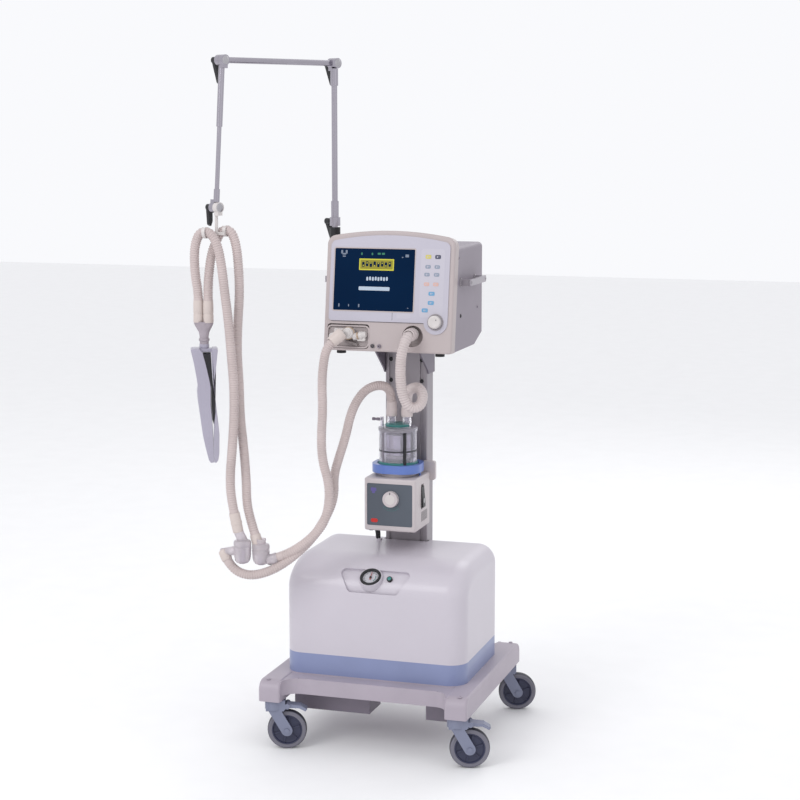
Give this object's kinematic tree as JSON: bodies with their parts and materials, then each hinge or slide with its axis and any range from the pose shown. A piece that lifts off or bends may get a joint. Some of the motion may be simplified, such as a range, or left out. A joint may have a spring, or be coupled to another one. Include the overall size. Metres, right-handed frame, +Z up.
{
  "type": "mechanical ventilator",
  "caption": "Intensive care ventilator with screen, humidifier and breathing hoses on a compressor trolley with casters and a jointed hose arm.",
  "frame": {"origin": "on the floor under the centre of the trolley", "axes": "+Z up, the screen faces -Y, +X to the viewer's right"},
  "size_m": [0.766, 0.5947, 1.735],
  "materials": {
    "chassis_paint": "satin paint",
    "grey_metal": "satin",
    "blue_band": "gloss moulding",
    "white_shell": "gloss moulding",
    "black_plastic": "satin",
    "needle_red": "painted",
    "cast_metal": "as cast",
    "anodised": "satin anodised",
    "case_paint": "fine texture paint",
    "bezel_plastic": "fine texture",
    "panel_membrane": "satin film",
    "screen_glass": "gloss",
    "valve_plastic": "semi gloss",
    "black_rubber": "matte",
    "brass_nickel": "nickel plated",
    "board_green": "solder mask",
    "cream_plastic": "fine texture",
    "clear_plastic": "clear",
    "teal_gasket": "satin",
    "black_lead": "satin",
    "hose_white": "satin",
    "hose_cream": "satin",
    "lung_silicone": "satin",
    "guard_blue": "semi gloss",
    "tube_steel": "polished",
    "caster_grey": "satin",
    "wheel_tread": "satin"
  },
  "bodies": {
    "root": {"chassis": "chassis_paint", "underframe_boxes": "grey_metal", "base_band": "blue_band", "compressor_cover": "white_shell", "pressure_gauge": "black_plastic", "compressor_pump": "cast_metal", "air_reservoir": "grey_metal", "column": "anodised", "unit_bracket": "grey_metal", "unit_case": "case_paint", "unit_bezel": "bezel_plastic", "display_panel": "panel_membrane", "screen": "screen_glass", "membrane_keys": "panel_membrane", "expiratory_valve": "valve_plastic", "inspiratory_port": "valve_plastic", "unit_feet": "black_rubber", "side_handles": "anodised", "rear_inlets": "brass_nickel", "gas_module": "anodised", "control_board": "board_green", "humidifier_bracket": "anodised", "humidifier_body": "cream_plastic", "water_chamber": "clear_plastic", "chamber_cap": "teal_gasket", "humidifier_lead": "black_lead", "arm_clamp": "black_plastic", "dry_hose": "hose_white", "inspiratory_hose_lower": "hose_cream", "expiratory_hose_lower": "hose_cream", "water_traps": "clear_plastic"},
    "caster_front_left": {"caster_fork_front_left": "caster_grey"},
    "wheel_front_left": {"caster_wheel_front_left": "wheel_tread"},
    "pedal_front_left": {"brake_pedal_front_left": "caster_grey"},
    "caster_front_right": {"caster_fork_front_right": "caster_grey"},
    "wheel_front_right": {"caster_wheel_front_right": "wheel_tread"},
    "pedal_front_right": {"brake_pedal_front_right": "caster_grey"},
    "caster_rear_left": {"caster_fork_rear_left": "caster_grey"},
    "wheel_rear_left": {"caster_wheel_rear_left": "wheel_tread"},
    "caster_rear_right": {"caster_fork_rear_right": "caster_grey"},
    "wheel_rear_right": {"caster_wheel_rear_right": "wheel_tread"},
    "gauge_needle": {"gauge_needle": "needle_red"},
    "compressor_button": {"compressor_button": "black_plastic"},
    "knob_shaft": {"knob_shaft": "brass_nickel"},
    "control_knob": {"control_knob": "valve_plastic"},
    "humidifier_dial": {"humidifier_dial": "cream_plastic"},
    "chamber_guard": {"chamber_guard": "guard_blue"},
    "guard_lever": {"guard_lever": "black_plastic"},
    "arm_post": {"arm_riser": "tube_steel"},
    "arm_boom": {"arm_boom": "tube_steel"},
    "arm_drop": {"arm_drop": "tube_steel"},
    "hanger": {"hose_hanger": "valve_plastic", "y_piece": "clear_plastic", "test_lung": "lung_silicone", "inspiratory_hose_upper": "hose_cream", "expiratory_hose_upper": "hose_cream"},
    "lever_post": {"clamp_lever_post": "black_plastic"},
    "lever_boom": {"clamp_lever_boom": "black_plastic"},
    "lever_drop": {"clamp_lever_drop": "black_plastic"},
    "lever_hanger": {"clamp_lever_hanger": "black_plastic"}
  },
  "joints": [
    {"name": "swivel_front_left", "type": "hinge", "parent": "root", "child": "caster_front_left", "pos_m": [-0.24, -0.242, 0.128], "axis": [0, 0, 1], "continuous": true},
    {"name": "roll_front_left", "type": "hinge", "parent": "caster_front_left", "child": "wheel_front_left", "pos_m": [-0.20948, -0.23238, 0.05], "axis": [-0.3007, 0.9537, 0], "continuous": true},
    {"name": "brake_front_left", "type": "hinge", "parent": "caster_front_left", "child": "pedal_front_left", "pos_m": [-0.20853, -0.23208, 0.113], "axis": [-0.3007, 0.9537, 0], "range_deg": [0, 10]},
    {"name": "swivel_front_right", "type": "hinge", "parent": "root", "child": "caster_front_right", "pos_m": [0.24, -0.242, 0.128], "axis": [0, 0, 1], "continuous": true},
    {"name": "roll_front_right", "type": "hinge", "parent": "caster_front_right", "child": "wheel_front_right", "pos_m": [0.27052, -0.23238, 0.05], "axis": [-0.3007, 0.9537, 0], "continuous": true},
    {"name": "brake_front_right", "type": "hinge", "parent": "caster_front_right", "child": "pedal_front_right", "pos_m": [0.27147, -0.23208, 0.113], "axis": [-0.3007, 0.9537, 0], "range_deg": [0, 10]},
    {"name": "swivel_rear_left", "type": "hinge", "parent": "root", "child": "caster_rear_left", "pos_m": [-0.24, 0.242, 0.128], "axis": [0, 0, 1], "continuous": true},
    {"name": "roll_rear_left", "type": "hinge", "parent": "caster_rear_left", "child": "wheel_rear_left", "pos_m": [-0.20948, 0.25162, 0.05], "axis": [-0.3007, 0.9537, 0], "continuous": true},
    {"name": "swivel_rear_right", "type": "hinge", "parent": "root", "child": "caster_rear_right", "pos_m": [0.24, 0.242, 0.128], "axis": [0, 0, 1], "continuous": true},
    {"name": "roll_rear_right", "type": "hinge", "parent": "caster_rear_right", "child": "wheel_rear_right", "pos_m": [0.27052, 0.25162, 0.05], "axis": [-0.3007, 0.9537, 0], "continuous": true},
    {"name": "gauge_reading", "type": "hinge", "parent": "root", "child": "gauge_needle", "pos_m": [-0.01, -0.161, 0.4435], "axis": [0, -0.5878, 0.809], "range_deg": [-130, 130]},
    {"name": "compressor_button_press", "type": "slide", "parent": "root", "child": "compressor_button", "axis": [0, 0.7431, -0.6691], "range_m": [0, 0.0025], "stiffness_N_per_m": 500, "springref_m": -0.001},
    {"name": "knob_press", "type": "slide", "parent": "root", "child": "knob_shaft", "axis": [0, 0.9903, -0.1392], "range_m": [0, 0.0012], "stiffness_N_per_m": 800, "springref_m": -0.001},
    {"name": "knob_turn", "type": "hinge", "parent": "knob_shaft", "child": "control_knob", "pos_m": [0.126, -0.049, 1.07823], "axis": [0, -0.9903, 0.1392], "continuous": true},
    {"name": "humidifier_dial_turn", "type": "hinge", "parent": "root", "child": "humidifier_dial", "pos_m": [0.004, -0.035, 0.618], "axis": [0, -1, 0], "range_deg": [0, 270]},
    {"name": "guard_press", "type": "slide", "parent": "root", "child": "chamber_guard", "axis": [0, 0, -1], "range_m": [0, 0.0075], "stiffness_N_per_m": 1500, "springref_m": -0.003},
    {"name": "guard_lever_swing", "type": "hinge", "parent": "root", "child": "guard_lever", "pos_m": [0.066, 0.025, 0.64], "axis": [0, 1, 0], "range_deg": [-12, 0]},
    {"name": "arm_swivel", "type": "hinge", "parent": "root", "child": "arm_post", "pos_m": [-0.19, 0.095, 1.186], "axis": [0, 0, 1], "range_deg": [-15, 15], "deforming": ["inspiratory_hose_upper", "expiratory_hose_upper"]},
    {"name": "boom_tilt", "type": "hinge", "parent": "arm_post", "child": "arm_boom", "pos_m": [-0.19, 0.095, 1.722], "axis": [-0.9011, 0.4336, 0], "range_deg": [-6, 8], "deforming": ["inspiratory_hose_upper", "expiratory_hose_upper"]},
    {"name": "drop_tilt", "type": "hinge", "parent": "arm_boom", "child": "arm_drop", "pos_m": [-0.35606, -0.25013, 1.722], "axis": [-0.9011, 0.4336, 0], "range_deg": [-6, 6], "deforming": ["inspiratory_hose_upper", "expiratory_hose_upper"]},
    {"name": "hanger_tilt", "type": "hinge", "parent": "arm_drop", "child": "hanger", "pos_m": [-0.3669, -0.27265, 1.367], "axis": [-0.9011, 0.4336, 0], "range_deg": [-6, 6], "deforming": ["inspiratory_hose_upper", "expiratory_hose_upper"]},
    {"name": "lever_post_turn", "type": "hinge", "parent": "arm_post", "child": "lever_post", "pos_m": [-0.19, 0.095, 1.317], "axis": [-0.9011, 0.4336, 0], "range_deg": [0, 75]},
    {"name": "lever_boom_turn", "type": "hinge", "parent": "arm_post", "child": "lever_boom", "pos_m": [-0.19, 0.095, 1.722], "axis": [-0.9011, 0.4336, 0], "range_deg": [0, 75]},
    {"name": "lever_drop_turn", "type": "hinge", "parent": "arm_boom", "child": "lever_drop", "pos_m": [-0.35606, -0.25013, 1.722], "axis": [-0.9011, 0.4336, 0], "range_deg": [0, 75]},
    {"name": "lever_hanger_turn", "type": "hinge", "parent": "arm_drop", "child": "lever_hanger", "pos_m": [-0.3669, -0.27265, 1.367], "axis": [-0.9011, 0.4336, 0], "range_deg": [0, 75]}
  ]
}
